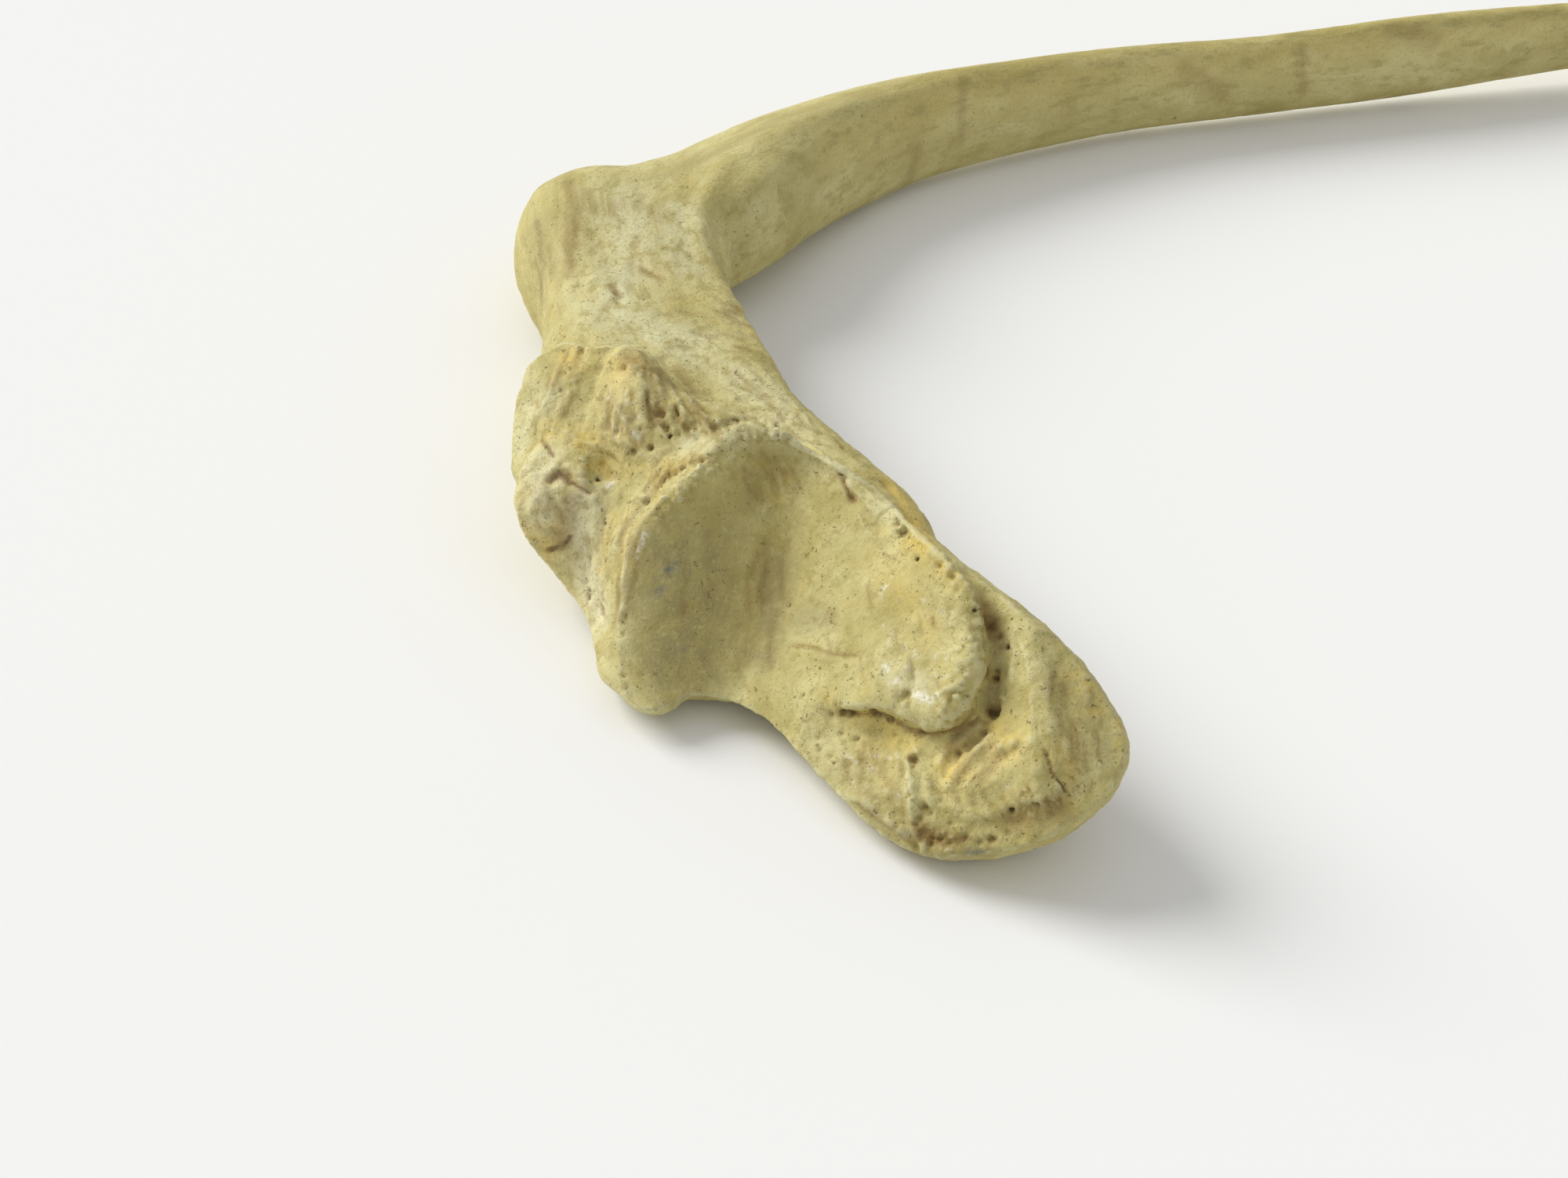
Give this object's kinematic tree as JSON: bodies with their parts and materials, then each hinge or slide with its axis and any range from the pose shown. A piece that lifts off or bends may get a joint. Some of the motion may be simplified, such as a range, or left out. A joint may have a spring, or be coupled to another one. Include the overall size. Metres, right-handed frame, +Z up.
{
  "type": "giraffe rib bone",
  "caption": "Dry giraffe rib lying on its edge: rounded head, saddle-shaped facet, rough tubercle, sharp angle and a long flat curving shaft.",
  "frame": {"origin": "centre of the bounding box's footprint, on the floor that the bone lies on", "axes": "+X the long way from the vertebral end to the sternal end, as the picture's left to right; +Y away from the camera; +Z up"},
  "size_m": [0.5586, 0.5064, 0.0451],
  "materials": {
    "bone": "matte dry bone, cream with ochre stains"
  },
  "bodies": {
    "root": {"rib": "bone"}
  },
  "joints": []
}
